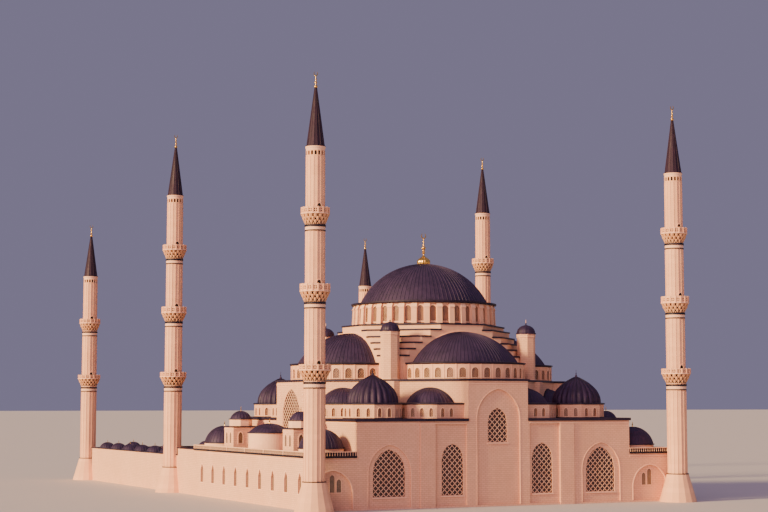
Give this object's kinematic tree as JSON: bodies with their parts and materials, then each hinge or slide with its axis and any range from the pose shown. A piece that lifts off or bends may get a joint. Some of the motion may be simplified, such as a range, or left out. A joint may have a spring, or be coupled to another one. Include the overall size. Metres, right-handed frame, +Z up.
{
  "type": "domed mosque with six minarets, 1:10 scale model",
  "caption": "Hollow square mosque under a great dome on half domes, with corner domes, side galleries, narthex, arcaded forecourt and balconied minarets.",
  "frame": {"origin": "on the ground under the middle of the main dome", "axes": "+Z up, +Y from the front wall of the picture towards the forecourt, +X to the right along the front wall"},
  "size_m": [11.5656, 20.4816, 10.71],
  "materials": {
    "stone": "cream limestone in fine courses, weathered, matt",
    "lead": "dark grey-violet lead sheet with raised seams",
    "gilt": "gilded copper, polished",
    "glass": "dark red-brown glass behind a pale lattice"
  },
  "bodies": {
    "root": {"main_drum": "stone", "great_arches": "stone", "hall_floor": "stone", "half_drum_front": "stone", "half_drum_right": "stone", "half_drum_rear": "stone", "half_drum_left": "stone", "weight_tower_front_left": "stone", "weight_tower_front_right": "stone", "weight_tower_rear_left": "stone", "weight_tower_rear_right": "stone", "diagonal_wall_front_left": "stone", "diagonal_wall_front_right": "stone", "diagonal_wall_rear_left": "stone", "diagonal_wall_rear_right": "stone", "front_wall": "stone", "rear_wall": "stone", "left_wall": "stone", "right_wall": "stone", "left_gallery": "stone", "right_gallery": "stone", "narthex": "stone", "left_arcade": "stone", "right_arcade": "stone", "rear_arcade_left": "stone", "rear_arcade_right": "stone", "portal": "stone", "court_floor": "stone", "minaret_front_left": "stone", "minaret_front_right": "stone", "minaret_middle_left": "stone", "minaret_middle_right": "stone", "minaret_rear_left": "stone", "minaret_rear_right": "stone", "main_dome": "lead", "upper_roof": "lead", "half_dome_front": "lead", "half_dome_right": "lead", "half_dome_rear": "lead", "half_dome_left": "lead", "corner_dome_front_left": "lead", "corner_dome_front_right": "lead", "corner_dome_rear_left": "lead", "corner_dome_rear_right": "lead", "minaret_cap_front_left": "lead", "minaret_cap_front_right": "lead", "minaret_cap_middle_left": "lead", "minaret_cap_middle_right": "lead", "minaret_cap_rear_left": "lead", "minaret_cap_rear_right": "lead", "main_finial": "gilt", "front_glass": "glass", "rear_glass": "glass", "left_glass": "glass", "right_glass": "glass"}
  },
  "joints": []
}
